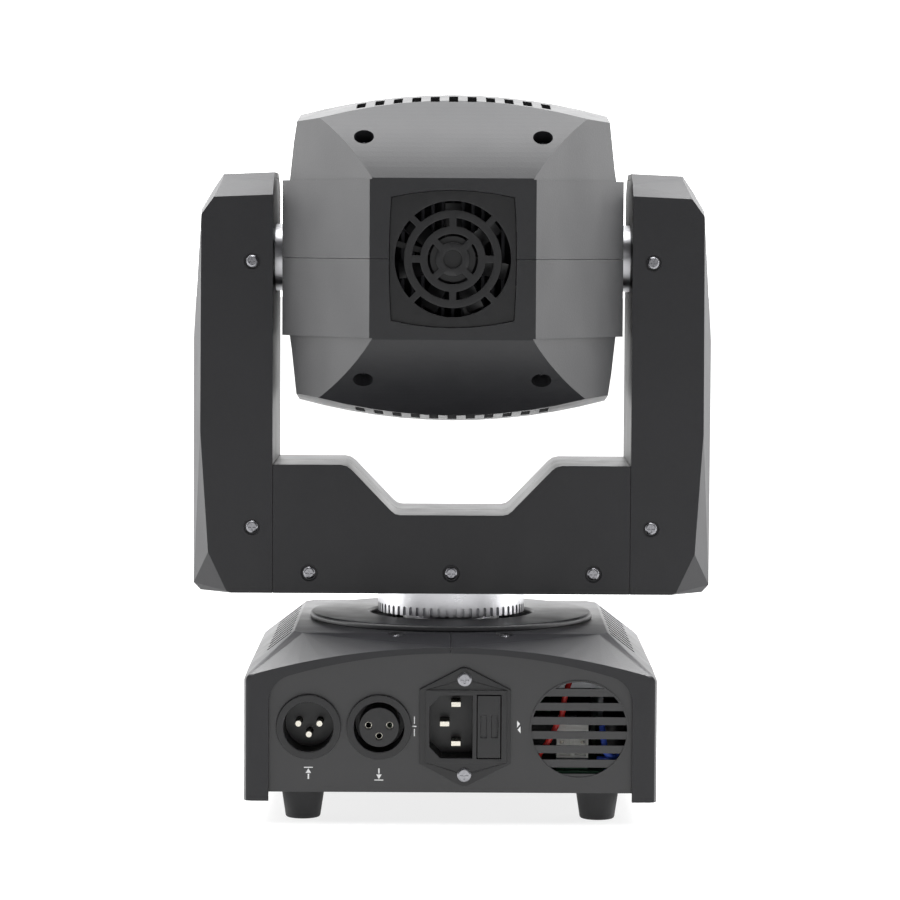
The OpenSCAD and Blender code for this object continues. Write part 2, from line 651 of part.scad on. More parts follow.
// Top view, as (x, y); out is how far the band stands proud of the rest
module top_profile(t, out) {
  side = [[back_half + 0.35 * out - 0.44 * t, -head_rear + t], [70 + 0.9 * out - 0.73 * t, -33 + 0.68 * t],
          [70 + out - t, -28 + 0.4 * t], [70 + out - t, 22], [64 + out - t, head_front - t]];
  polygon(concat(side, [for (i = [len(side) - 1:-1:0]) [-side[i][0], side[i][1]]]));
}

// Solid shape of the housing, drawn in by t
module head_form(t) {
  intersection() {
    arched_body(t);
    along_x(-far, far) side_profile(t);
    translate([0, 0, -far / 2]) linear_extrude(far) top_profile(t, 0);
  }
  intersection() {
    box([-far, far], [-far, far], [-band_half + t, band_half - t]);
    along_x(-far, far) side_profile(t);
    translate([0, 0, -far / 2]) linear_extrude(far) top_profile(t, head_half_w - 70);
  }
}

module grille_outline(grow) polygon([
  for (q = [0:3], i = [0:5]) let (u = -1 + i / 3, side = 25.6 + grow, mid = (q % 2 == 0) ? 0.9 : 3,
    out = side + mid * (1 - u * u), across = u * side, a = 90 * q)
    [out * cos(a) - across * sin(a), out * sin(a) + across * cos(a)]]);

// The axis of a screw well, from its mouth inwards
module well_axis() both_x() for (s = [0, 1]) mirror([0, 0, s])
  translate(well_at) rotate([90 - well_tilt, 0, 0]) children();

module head_vents() for (s = [0, 1]) mirror([0, 0, s]) for (i = [-5:5])
  box([7.9 * i - 1.95, 7.9 * i + 1.95], [-36, -14], [55, 80]);

module head_shell() at_tilt() difference() {
  union() {
    difference() {
      head_form(0);
      head_form(wall);
    }
    intersection() {
      head_form(0);
      well_axis() translate([0, 0, -8]) cylinder(r = 5.6, h = 9);
    }
  }
  well_axis() {
    translate([0, 0, -5]) cylinder(r = 4.2, h = 20);
    translate([0, 0, -10]) cylinder(r = hole_r, h = 20);
  }
  along_y(-far, -50) grille_outline(0.1);
  head_vents();
  both_x() disc_x(0, 0, hub_r + 0.5, 50, far);
  disc_y(0, 0, 58.2, 0, far);
}

module head_shell_top() color([0.2, 0.2, 0.21]) intersection() {
  head_shell();
  box([-far, far], [-far, far], [tilt_z + seam, far * 2]);
}

module head_shell_bottom() color([0.2, 0.2, 0.21]) intersection() {
  head_shell();
  box([-far, far], [-far, far], [0, tilt_z - seam]);
}

// Ring slots of the fan grille: inner radius, outer radius, turn of the spokes and their width
grille_rings = [[20.4, 24.2, 45, 2.8], [13.7, 17.1, 0, 3], [7, 10.5, 45, 2.8]];

module rear_grille() color([0.08, 0.08, 0.08]) at_tilt() difference() {
  along_y(-head_rear + 1.7, -head_rear + 3.7) grille_outline(0);
  for (g = grille_rings) along_y(-far, 0) difference() {
    circle(g[1]);
    circle(g[0]);
    for (a = [0, 90]) rotate(g[2] + a) square([far, g[3]], center = true);
  }
  disc_y(0, 0, 3.9, -far, 0);
}

fan_screw = 22.5;
fan_y = [-head_rear + 4, -head_rear + 14];

module fan_frame() color([0.07, 0.07, 0.07]) at_tilt() difference() {
  box([-26, 26], fan_y, [-26, 26]);
  disc_y(0, 0, 24.6, -far, fan_y[1] - 2);
  along_y(fan_y[1] - 3, far) difference() {
    circle(24.6);
    circle(10);
    for (a = [45, 165, 285]) rotate(a) translate([0, -1.2]) square([26, 2.4]);
  }
  for (x = [-fan_screw, fan_screw], z = [-fan_screw, fan_screw]) disc_y(x, z, 1.8, -far, 0);
}

module fan_rotor() color([0.1, 0.1, 0.1]) at_tilt() {
  disc_y(0, 0, 9.5, fan_y[0] + 0.6, fan_y[1] - 2.4);
  for (i = [0:6]) rotate([0, 360 / 7 * i, 0]) translate([0, (fan_y[0] + fan_y[1]) / 2 - 1, 16])
    rotate([0, 0, 35]) cube([8.4, 1, 14.4], center = true);
}

module heat_sink() color([0.75, 0.76, 0.78]) at_tilt() {
  box([-27, 27], [-30, -26], [-27, 27]);
  for (i = [-6:6]) box([4.2 * i - 0.7, 4.2 * i + 0.7], [-56, -29.9], [-27, 27]);
}

module led_module() color([0.85, 0.85, 0.8]) at_tilt() difference() {
  union() {
    disc_y(0, 0, 15, -26, -24);
    along_y(-24, -16) circle(10);
  }
  disc_y(0, 0, 8, -22, 0);
}

module head_chassis() color([0.6, 0.61, 0.63]) at_tilt() difference() {
  union() {
    both_x() box([64, 66], [-34, 36], [-30, 30]);
    box([-65, 65], [wheel_plate_y, wheel_plate_y + 2], [-44, 44]);
    box([-65, 65], [-32, -30.1], [-29, 29]);
    for (z = [-33, 33]) disc_y(0, z, 2.4, wheel_plate_y, 40);
  }
  disc_y(0, 0, 10, -20, 20);
  for (x = [-wheel_x, wheel_x]) disc_y(x, 0, 3, -20, 20);
  both_x() disc_x(0, 0, 4.1, 50, far);
  box([-27.2, 27.2], [-60, -30], [-27.2, 27.2]);
}

module tilt_axles() color([0.8, 0.8, 0.82]) at_tilt() difference() {
  union() {
    both_x() disc_x(0, 0, hub_r, 66.1, arm_gap + 4);
    disc_x(0, 0, axle_r, 80, 104);
    mirror([1, 0, 0]) disc_x(0, 0, axle_r, 80, 96);
  }
  disc_x(0, 0, 4, -far, far);
}

module tilt_pulley() color([0.75, 0.75, 0.75])
  translate([tilt_belt_x - 1.5, 0, tilt_z]) rotate([0, 90, 0]) pulley(tilt_pulley_r, axle_r, 48);

// Small round motors that turn the colour and the gobo wheel
motor_r = 11.5;
module wheel_motors() color([0.2, 0.2, 0.2]) at_tilt() {
  disc_y(-wheel_x, 0, motor_r, wheel_plate_y + 2, wheel_plate_y + 17);
  disc_y(-wheel_x, 0, 1.5, wheel_plate_y - 6, wheel_plate_y + 2);
  disc_y(wheel_x, 0, motor_r, wheel_plate_y - 14, wheel_plate_y);
  disc_y(wheel_x, 0, 1.5, wheel_plate_y, wheel_plate_y + 8);
}

// Filter wheel: a disc on a hub, with round windows on the beam's circle
module filter_wheel(x, y0, windows, window_r) at_tilt() difference() {
  union() {
    disc_y(x, 0, wheel_r, y0, y0 + 1.2);
    disc_y(x, 0, 5, y0 - 1.5, y0 + 2.7);
  }
  for (i = [0:windows - 1]) let (a = 360 / windows * i)
    disc_y(x + wheel_x * cos(a), wheel_x * sin(a), window_r, -far, far);
  disc_y(x, 0, 1.55, -far, far);
}

module colour_wheel() color([0.3, 0.3, 0.6]) filter_wheel(-wheel_x, wheel_plate_y - 5, 8, 5);
module gobo_wheel() color([0.5, 0.5, 0.5]) filter_wheel(wheel_x, wheel_plate_y + 5, 8, 4.6);

carriage_y = [18, 26];
module focus_carriage() color([0.15, 0.15, 0.15]) at_tilt() difference() {
  union() {
    disc_y(0, 0, 28, carriage_y[0], carriage_y[1]);
    for (z = [-33, 33]) disc_y(0, z, 6, carriage_y[0], carriage_y[1]);
  }
  disc_y(0, 0, 22, 0, far);
  for (z = [-33, 33]) disc_y(0, z, 2.45, 0, far);
}

module focus_lens() color([0.7, 0.8, 0.9]) at_tilt() difference() {
  disc_y(0, 0, 21.95, carriage_y[0] + 1, carriage_y[1] - 1);
  translate([0, carriage_y[0] - 35.5, 0]) sphere(37.5);
}

module front_bezel() color([0.12, 0.12, 0.12]) at_tilt() rotate([-90, 0, 0]) rotate_extrude($fn = 96)
  polygon([[54.5, 44], [58, 44], [58, head_front + 0.1], [bezel_r - 2, head_front + 0.1],
           [bezel_r, 53], [bezel_r, 61], [bezel_r - 1.2, 64.6], [bezel_r - 4, bezel_front],
           [60, bezel_front], [52, 63], [52, 61.2], [55.2, 61.2], [55.2, 56], [54.5, 56]]);

module front_lens() color([0.75, 0.85, 0.95]) at_tilt() rotate([-90, 0, 0]) rotate_extrude($fn = 96)
  polygon(concat([[0, 57], [55, 57], [55, 61]], [for (i = [0:10]) let (r = 51.8 * (1 - i / 10))
    [r, 61 + 2.6 * (1 - pow(r / 51.8, 2))]]));

module head_screws() color([0.7, 0.7, 0.72]) at_tilt()
  well_axis() translate([0, 0, -5]) screw(3, 4);

base_plate();
rear_panel();
base_cover_left();
base_cover_right();
front_panel();
display_window();
control_board();
pan_trim_ring();
bearing_plate();
pan_bearing_outer();
pan_bearing_balls();
pan_motor();
pan_belt();
power_board();
signal_in_socket();
signal_out_socket();
signal_out_insert();
contact_pins();
power_inlet();
rubber_feet();
base_screws();
menu_button(1);  // menu_button_1
menu_button(2);  // menu_button_2
menu_button(3);  // menu_button_3
menu_button(4);  // menu_button_4
pan_motor_pulley();
fuse_drawer();
fuse_links();
pan_spindle();
pan_pulley();
yoke_frame();
crossbar_cover_rear();
crossbar_cover_front();
arm_cover_left();
arm_cover_right();
arm_inner_left();
arm_inner_right();
tilt_bearings();
tilt_motor();
tilt_belt();
yoke_screws();
tilt_motor_pulley();
head_shell_top();
head_shell_bottom();
rear_grille();
front_bezel();
front_lens();
head_chassis();
tilt_axles();
tilt_pulley();
fan_frame();
heat_sink();
led_module();
wheel_motors();
head_screws();
fan_rotor();
colour_wheel();
gobo_wheel();
focus_carriage();
focus_lens();
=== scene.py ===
import math

import bmesh
import bpy
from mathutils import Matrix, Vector


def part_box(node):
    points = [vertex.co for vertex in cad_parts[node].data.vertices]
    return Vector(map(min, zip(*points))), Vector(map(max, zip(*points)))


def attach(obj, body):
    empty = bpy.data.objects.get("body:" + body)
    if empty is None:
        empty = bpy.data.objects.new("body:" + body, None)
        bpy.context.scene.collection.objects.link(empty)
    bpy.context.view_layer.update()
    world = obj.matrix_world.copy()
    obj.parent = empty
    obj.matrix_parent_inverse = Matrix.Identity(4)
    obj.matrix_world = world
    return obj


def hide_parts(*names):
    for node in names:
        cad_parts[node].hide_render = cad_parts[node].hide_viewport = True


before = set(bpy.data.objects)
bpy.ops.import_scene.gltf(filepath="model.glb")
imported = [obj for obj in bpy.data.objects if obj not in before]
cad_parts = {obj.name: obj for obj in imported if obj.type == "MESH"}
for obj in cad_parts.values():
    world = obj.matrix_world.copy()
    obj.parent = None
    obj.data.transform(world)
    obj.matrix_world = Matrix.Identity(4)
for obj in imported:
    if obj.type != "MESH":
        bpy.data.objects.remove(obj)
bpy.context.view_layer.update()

# ---------------------------------------------------------------- studio
# A pale sweep under the lamp and a white room behind it that is darker on the viewer's side. Each
# side has a tall soft light and a higher one; one more hangs overhead, and a weak one stands by the
# viewer, who is a metre and a half behind the lamp.
view_distance = 1.5
view_height = 0.245
view_down = 3.6          # degrees
view_roll = -0.3
lens_length = 137.3

camera_data = bpy.data.cameras.new("studio_camera")
camera_data.lens = lens_length
camera_data.sensor_width = 36
camera_data.clip_end = 50
camera_data.shift_x = -0.0033
camera_data.shift_y = 0.0011
camera = bpy.data.objects.new("studio_camera", camera_data)
bpy.context.scene.collection.objects.link(camera)
camera.location = (0, -view_distance, view_height)
camera.rotation_euler = (math.radians(90 - view_down), math.radians(view_roll), 0)
bpy.context.scene.camera = camera
bpy.context.scene.view_settings.view_transform = "Standard"


def soft_light(name, place, aim, width, height, power):
    data = bpy.data.lights.new(name, "AREA")
    data.shape = "RECTANGLE"
    data.size = width
    data.size_y = height
    data.energy = power
    light = bpy.data.objects.new(name, data)
    bpy.context.scene.collection.objects.link(light)
    light.location = place
    light.rotation_euler = (Vector(aim) - Vector(place)).to_track_quat("-Z", "Y").to_euler()


for side in (-1, 1):
    soft_light("side_softbox", (1.3 * side, 0.3, 0.45), (0, 0, 0.2), 1.0, 1.3, 19)
    soft_light("upper_softbox", (0.8 * side, 0.3, 1.3), (0, 0, 0.1), 0.8, 0.9, 42)
soft_light("top_softbox", (0, -0.1, 1.6), (0, 0, 0.2), 0.9, 0.9, 13)
soft_light("viewer_fill", (0.4, -1.9, 0.8), (0, 0, 0.2), 0.7, 0.7, 1.2)

world = bpy.data.worlds.new("white_room")
bpy.context.scene.world = world
world.use_nodes = True
room = world.node_tree
direction = room.nodes.new("ShaderNodeTexCoord")
split = room.nodes.new("ShaderNodeSeparateXYZ")
shade = room.nodes.new("ShaderNodeValToRGB")
shade.color_ramp.elements[0].position = 0.28
shade.color_ramp.elements[0].color = (0.05, 0.05, 0.052, 1)
shade.color_ramp.elements[1].position = 0.56
shade.color_ramp.elements[1].color = (1, 1, 1, 1)
lift = room.nodes.new("ShaderNodeMapRange")
lift.inputs["From Min"].default_value = -1
room.links.new(direction.outputs["Generated"], split.inputs[0])
room.links.new(split.outputs["Y"], lift.inputs["Value"])
room.links.new(lift.outputs[0], shade.inputs["Fac"])
room.links.new(shade.outputs["Color"], room.nodes["Background"].inputs["Color"])
room.nodes["Background"].inputs["Strength"].default_value = 2.5

bpy.ops.mesh.primitive_plane_add(size=24, location=(0, 0, -0.0002))
floor = bpy.context.object
floor.name = "studio_floor"


class Wire:
    """A shader socket that takes part in sums, and makes the nodes that it feeds."""

    def __init__(self, tree, socket):
        self.tree = tree
        self.socket = socket

    def make(self, kind, inputs, out=0, **settings):
        node = self.tree.nodes.new("ShaderNode" + kind)
        for name, value in settings.items():
            setattr(node, name, value)
        for name, value in inputs.items():
            if isinstance(value, Wire):
                self.tree.links.new(value.socket, node.inputs[name])
            else:
                node.inputs[name].default_value = value
        return Wire(self.tree, node.outputs[out])

    def sum(self, operation, first, second):
        return self.make("Math", {0: first, 1: second}, operation=operation)

    def __add__(self, other):
        return self.sum("ADD", self, other)

    def __mul__(self, other):
        return self.sum("MULTIPLY", self, other)

    __radd__ = __add__
    __rmul__ = __mul__

    def mixed(self, low, high):
        """Colour that goes from low to high as this value goes from 0 to 1."""
        return self.make("Mix", {"Factor": self, 6: (*low, 1), 7: (*high, 1)}, out=2, data_type="RGBA")

    def noise(self, size, detail=3.0, stretch=(1, 1, 1)):
        """Noise with features of about size metres; self is a place."""
        place = self.make("VectorMath", {0: self, 1: stretch}, operation="MULTIPLY")
        return self.make("TexNoise", {"Vector": place, "Scale": 1 / size, "Detail": detail})


def new_finish(name):
    """A material with its surface shader, and the place on the object as a Wire."""
    material = bpy.data.materials.new(name)
    material.use_nodes = True
    tree = material.node_tree
    coordinates = tree.nodes.new("ShaderNodeTexCoord")
    return material, tree.nodes["Principled BSDF"], Wire(tree, coordinates.outputs["Object"])


def plug(surface, **values):
    """Sets the surface shader's sockets to numbers, colours or wires."""
    for name, value in values.items():
        socket = surface.inputs[name.replace("_", " ")]
        if isinstance(value, Wire):
            value.tree.links.new(value.socket, socket)
        else:
            socket.default_value = value


floor_paper, surface, place = new_finish("sweep_paper")
plug(surface, Base_Color=place.noise(0.4).mixed((0.21, 0.21, 0.21), (0.23, 0.23, 0.23)), Roughness=0.9,
     Emission_Color=(1, 1, 1, 1), Emission_Strength=0.8)
floor.data.materials.append(floor_paper)


# ---------------------------------------------------------------- plastic covers
# The base halves, the yoke's covers and the front panel are injection moulded in black ABS with a
# spark-eroded grain, and close over the metalwork with cross-head screws.
def moulded(name, dark, light, roughness=0.5, grain=0.0007, depth=0.00004):
    """Moulded plastic: eroded grain, slow flow variation and faint handling marks."""
    material, surface, place = new_finish(name)
    flow = place.noise(0.03, 2)
    speckle = place.noise(grain * 1.6, 2)
    rubbed = place.noise(0.012, 5, (1, 1, 0.4))
    tone = flow * 0.45 + speckle * 0.35 + rubbed * 0.2
    height = place.noise(grain, 3)
    bump = place.make("Bump", {"Height": height, "Distance": depth, "Strength": 0.85})
    plug(surface, Base_Color=tone.mixed(dark, light), Roughness=rubbed * 0.16 + (roughness - 0.08),
         Normal=bump, IOR=1.44)
    return material


cover_finish = moulded("cover_plastic", (0.006, 0.006, 0.0072), (0.012, 0.012, 0.0145), 0.44)
head_finish = moulded("head_plastic", (0.009, 0.009, 0.0102), (0.017, 0.0173, 0.0192), 0.42)


def select_only(*objects):
    bpy.ops.object.select_all(action="DESELECT")
    for each in objects:
        each.select_set(True)
    bpy.context.view_layer.objects.active = objects[-1]


def apply_modifiers(piece):
    select_only(piece)
    for modifier in list(piece.modifiers):
        bpy.ops.object.modifier_apply(modifier=modifier.name)


weld_distance = 0.000002
flat_angle = math.radians(0.6)
strip_angle = math.radians(2)


def softened(node, body, finish, radius, segments=2, smooth=28, whole_flats=True):
    """A finished copy of a CAD piece whose edges have their moulded or rolled radius.

    Faces that meet at under two degrees, such as the strips of a swelling side, stay flat.
    whole_flats joins the facets of each flat first. It is off where that would close an opening.
    """
    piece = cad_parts[node].copy()
    piece.data = piece.data.copy()
    piece.parent = None
    for key in list(piece.keys()):
        del piece[key]
    piece.name = node + "_finished"
    bpy.context.scene.collection.objects.link(piece)
    select_only(piece)
    bpy.ops.object.mode_set(mode="EDIT")
    bpy.ops.mesh.select_all(action="SELECT")
    bpy.ops.mesh.remove_doubles(threshold=weld_distance)
    if whole_flats:
        bpy.ops.mesh.dissolve_limited(angle_limit=flat_angle)
    bpy.ops.object.mode_set(mode="OBJECT")
    rounding = piece.modifiers.new("radius", "BEVEL")
    rounding.width = radius
    rounding.segments = segments
    rounding.limit_method = "ANGLE"
    rounding.angle_limit = math.radians(smooth)
    rounding.use_clamp_overlap = True
    rounding.miter_outer = "MITER_ARC"
    apply_modifiers(piece)
    bpy.ops.object.shade_smooth_by_angle(angle=math.radians(smooth + 8))
    shape = bmesh.new()
    shape.from_mesh(piece.data)
    for edge in shape.edges:
        if edge.is_manifold and edge.calc_face_angle() < strip_angle:
            edge.smooth = False
    shape.to_mesh(piece.data)
    shape.free()
    flats = piece.modifiers.new("flats", "WEIGHTED_NORMAL")
    flats.keep_sharp = True
    flats.weight = 80
    apply_modifiers(piece)
    piece.data.materials.clear()
    piece.data.materials.append(finish)
    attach(piece, body)
    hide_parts(node)
    return piece


for node in ("base_cover_left", "base_cover_right"):
    softened(node, "base", cover_finish, 0.0008)
softened("front_panel", "base", cover_finish, 0.0003)
for node in ("crossbar_cover_rear", "crossbar_cover_front"):
    softened(node, "yoke", cover_finish, 0.0012, 3)
for node in ("arm_cover_left", "arm_cover_right"):
    softened(node, "yoke", cover_finish, 0.0011, 3, 12)
for node in ("arm_inner_left", "arm_inner_right"):
    softened(node, "yoke", cover_finish, 0.0004)
softened("pan_trim_ring", "base", cover_finish, 0.0004)

# ---------------------------------------------------------------- head housing
# Two half shells in charcoal ABS close over the optics along a level seam; a round bezel holds
# the front glass, and a moulded grille covers the fan at the back.
for node in ("head_shell_top", "head_shell_bottom"):
    softened(node, "head", head_finish, 0.0007, 2, 22, whole_flats=False)
softened("front_bezel", "head", head_finish, 0.0006)

grille_finish = moulded("grille_nylon", (0.004, 0.004, 0.0045), (0.009, 0.009, 0.01), 0.36)
softened("rear_grille", "head", grille_finish, 0.0002, whole_flats=False)


def dress(nodes, finish):
    """Gives CAD pieces that stay as they are their own finish."""
    for node in nodes:
        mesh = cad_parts[node].data
        mesh.materials.clear()
        mesh.materials.append(finish)


# ---------------------------------------------------------------- sheet steel
# The connector panel and the base plate are folded from steel sheet and powder coated satin black.
# Their coat has a fine orange peel.
def powder_coated(name, dark, light):
    material, surface, place = new_finish(name)
    peel = place.noise(0.0006, 2)
    cloud = place.noise(0.02, 3)
    bump = place.make("Bump", {"Height": peel, "Distance": 0.00003, "Strength": 0.6})
    plug(surface, Base_Color=(cloud * 0.6 + peel * 0.4).mixed(dark, light), Roughness=cloud * 0.12 + 0.34,
         Normal=bump, Coat_Weight=0.15, Coat_Roughness=0.3)
    return material


panel_finish = powder_coated("panel_powder_coat", (0.012, 0.012, 0.013), (0.022, 0.022, 0.023))
softened("rear_panel", "base", panel_finish, 0.00025, 2)
dress(["base_plate"], panel_finish)


# ---------------------------------------------------------------- bare metal
# Brackets, axles, pulleys and screws are zinc-plated steel or turned aluminium.
def bare_metal(name, dark, light, roughness, lay=(1, 1, 1), grain=0.0012):
    material, surface, place = new_finish(name)
    lines = place.noise(grain, 4, lay)
    stain = place.noise(0.015, 4)
    bump = place.make("Bump", {"Height": lines, "Distance": 0.00002, "Strength": 0.5})
    plug(surface, Base_Color=(lines * 0.5 + stain * 0.5).mixed(dark, light), Metallic=1.0,
         Roughness=stain * 0.14 + lines * 0.1 + (roughness - 0.1), Normal=bump)
    return material


sheet_finish = bare_metal("zinc_sheet", (0.42, 0.43, 0.45), (0.6, 0.61, 0.63), 0.36, (1, 1, 0.15))
turned_finish = bare_metal("turned_aluminium", (0.5, 0.5, 0.52), (0.68, 0.68, 0.7), 0.28, (1, 1, 9), 0.004)
screw_finish = bare_metal("screw_zinc", (0.16, 0.16, 0.17), (0.34, 0.34, 0.36), 0.24)
contact_finish = bare_metal("tinned_brass", (0.5, 0.47, 0.4), (0.66, 0.64, 0.58), 0.25)
dress(["bearing_plate", "pan_bearing_outer", "pan_bearing_balls", "yoke_frame", "tilt_bearings",
       "head_chassis", "fuse_links"], sheet_finish)
dress(["pan_spindle", "pan_pulley", "pan_motor_pulley", "tilt_motor_pulley", "tilt_pulley",
       "tilt_axles", "gobo_wheel"], turned_finish)
fin_finish = bare_metal("anodised_fins", (0.02, 0.02, 0.022), (0.05, 0.05, 0.055), 0.45)
dress(["heat_sink"], fin_finish)
dress(["contact_pins"], contact_finish)
for node, body in (("base_screws", "base"), ("yoke_screws", "yoke"), ("head_screws", "head")):
    softened(node, body, screw_finish, 0.00015)

# ---------------------------------------------------------------- nylon, rubber and boards
# Connector bodies, motors and fan parts are glass-filled nylon with a soft gloss; feet and belts
# are rubber; the boards are green fibreglass with copper under the lacquer.
nylon_finish = moulded("black_nylon", (0.006, 0.006, 0.0066), (0.012, 0.012, 0.013), 0.34, 0.0009, 0.00001)
rubber_finish = moulded("foot_rubber", (0.012, 0.012, 0.013), (0.028, 0.028, 0.029), 0.7, 0.0008)
belt_finish = moulded("belt_rubber", (0.01, 0.01, 0.01), (0.02, 0.02, 0.02), 0.75)
button_finish = moulded("button_plastic", (0.12, 0.12, 0.13), (0.18, 0.18, 0.19), 0.5)
for node in ("signal_in_socket", "signal_out_socket", "signal_out_insert"):
    softened(node, "base", nylon_finish, 0.0005, 3)
softened("power_inlet", "base", nylon_finish, 0.00015, whole_flats=False)
softened("fuse_drawer", "fuse_tray", nylon_finish, 0.0003)
softened("rubber_feet", "base", rubber_finish, 0.0008, 3)
softened("fan_rotor", "fan", nylon_finish, 0.0002)
softened("fan_frame", "head", nylon_finish, 0.0004)
dress(["pan_motor", "tilt_motor", "wheel_motors", "focus_carriage"], nylon_finish)
dress(["pan_belt", "tilt_belt"], belt_finish)
for i in (1, 2, 3, 4):
    softened(f"menu_button_{i}", f"button_{i}", button_finish, 0.0006, 3)

board_finish, surface, place = new_finish("circuit_board")
tracks = place.make("TexVoronoi", {"Vector": place, "Scale": 260.0}, out=0)
plug(surface, Base_Color=(tracks * 1.4).mixed((0.01, 0.07, 0.03), (0.05, 0.2, 0.08)),
     Roughness=0.3 + tracks * 0.2, Coat_Weight=0.4)
dress(["control_board"], board_finish)

parts_finish, surface, place = new_finish("board_parts")
block_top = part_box("power_board")[1][2]
block_tall = 0.0195
height = place.make("SeparateXYZ", {0: place}, out=2)
on_board = height.sum("GREATER_THAN", height, block_top - block_tall)
dust = place.noise(0.003)
part_colour = dust.mixed((0.006, 0.006, 0.007), (0.02, 0.02, 0.02))
fibre_colour = dust.mixed((0.01, 0.06, 0.03), (0.02, 0.12, 0.05))
plug(surface, Base_Color=place.make("Mix", {"Factor": on_board, 6: fibre_colour, 7: part_colour}, out=2,
     data_type="RGBA"), Roughness=dust * 0.2 + 0.4)
dress(["power_board"], parts_finish)

led_finish, surface, place = new_finish("light_source")
plug(surface, Base_Color=place.noise(0.004).mixed((0.8, 0.78, 0.6), (0.9, 0.9, 0.86)), Roughness=0.3)
dress(["led_module"], led_finish)


# ---------------------------------------------------------------- glass
# The front glass and the focusing lens are ground optical glass; the display window is tinted.
def clear(name, tint, roughness):
    material, surface, place = new_finish(name)
    haze = place.noise(0.02, 4)
    plug(surface, Base_Color=haze.mixed(tint, tuple(min(1, c * 1.04) for c in tint)), Transmission_Weight=1.0,
         Roughness=haze * 0.02 + roughness, IOR=1.5)
    return material


glass_finish = clear("optical_glass", (0.93, 0.96, 0.97), 0.0)
window_finish = clear("display_tint", (0.1, 0.11, 0.13), 0.04)
dress(["front_lens", "focus_lens"], glass_finish)
dress(["display_window"], window_finish)
filter_finish, surface, place = new_finish("filter_glass")
plug(surface, Base_Color=place.noise(0.03).mixed((0.05, 0.06, 0.2), (0.3, 0.1, 0.25)),
     Roughness=0.15, Metallic=0.6)
dress(["colour_wheel"], filter_finish)

# ---------------------------------------------------------------- panel signs
# White signs screened on the connector panel: an arrow into one socket and out of the other, a
# fuse sign beside the inlet and a flash by the vent. The ink stands a twentieth of a millimetre proud.
ink_finish, surface, place = new_finish("screen_ink")
plug(surface, Base_Color=place.noise(0.0008).mixed((0.72, 0.72, 0.72), (0.86, 0.86, 0.86)), Roughness=0.5)
panel_face = -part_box("front_panel")[1][1]        # the connector panel mirrors the front one
ink = 0.00005


def settle(name, body, finish, smooth=None):
    """Puts the active piece's place in its mesh, turns its faces outwards and says what it rides on."""
    piece = bpy.context.object
    piece.name = name
    select_only(piece)
    bpy.ops.object.transform_apply(location=True, rotation=True, scale=True)
    bpy.ops.object.mode_set(mode="EDIT")
    bpy.ops.mesh.select_all(action="SELECT")
    bpy.ops.mesh.normals_make_consistent(inside=False)
    bpy.ops.object.mode_set(mode="OBJECT")
    if smooth:
        bpy.ops.object.shade_smooth_by_angle(angle=math.radians(smooth))
    piece.data.materials.clear()
    piece.data.materials.append(finish)
    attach(piece, body)
    return piece


def join(pieces):
    select_only(*pieces)
    bpy.ops.object.join()


def ink_patch(corners, radius, x, z, turn=0.0, wide=1.0, high=1.0):
    """A flat patch of ink: a circle of so many corners, turned and stretched, then given its thickness."""
    bpy.ops.object.select_all(action="DESELECT")
    bpy.ops.mesh.primitive_circle_add(vertices=corners, radius=radius, fill_type="NGON", location=(0, 0, 0))
    patch = bpy.context.object
    patch.rotation_euler = (0, 0, turn)
    bpy.ops.object.transform_apply(location=False, rotation=True, scale=False)
    patch.scale = (wide, high, 1)
    patch.rotation_euler = (math.pi / 2, 0, 0)
    patch.location = (x, panel_face, z)
    bpy.ops.object.transform_apply(location=True, rotation=True, scale=True)
    bpy.ops.object.mode_set(mode="EDIT")
    bpy.ops.mesh.select_all(action="SELECT")
    bpy.ops.mesh.extrude_region_move(TRANSFORM_OT_translate={"value": (0, -ink, 0)})
    bpy.ops.object.mode_set(mode="OBJECT")
    return patch


def middle(node):
    low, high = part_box(node)
    return [(a + b) / 2 for a, b in zip(low, high)]


signs = []
square = math.pi / 4
sign_below = 0.0062      # from a socket's rim down to the middle of its sign
for node, up in (("signal_in_socket", 1), ("signal_out_socket", -1)):
    x = middle(node)[0]
    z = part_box(node)[0][2] - sign_below
    signs.append(ink_patch(3, 0.0013, x, z + up * 0.0009, math.pi / 2 * (1 - up)))
    signs.append(ink_patch(4, 0.0008, x, z - up * 0.0012, square, 0.55, 1.9))
    signs.append(ink_patch(4, 0.0012, x, z + up * 0.0026, square, 2.2, 0.22))
inlet_z = middle("power_inlet")[2]
fuse_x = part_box("power_inlet")[0][0] - 0.0021
for dz, wide, high in ((0.0026, 0.25, 1.9), (0, 1.1, 0.3), (-0.0026, 0.25, 1.9)):
    signs.append(ink_patch(4, 0.0011, fuse_x, inlet_z + dz, square, wide, high))
flash_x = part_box("power_inlet")[1][0] + 0.0032
signs.append(ink_patch(3, 0.0014, flash_x, inlet_z + 0.0012, -math.pi / 2, 0.6, 1.2))
signs.append(ink_patch(3, 0.0014, flash_x + 0.0006, inlet_z - 0.0012, math.pi / 2, 0.6, 1.2))
join(signs)
settle("panel_signs", "base", ink_finish)


# ---------------------------------------------------------------- wiring behind the vent
# A white crimp-connector shell with a cap over it lies against the power board's connector block,
# and two solder tabs stand on the shell's face. One red and two blue leads pass by it.
shell_finish = moulded("connector_nylon", (0.6, 0.6, 0.57), (0.75, 0.75, 0.72), 0.45, 0.0008, 0.00001)
connector_x = 0.05115
connector_wide = 0.0133

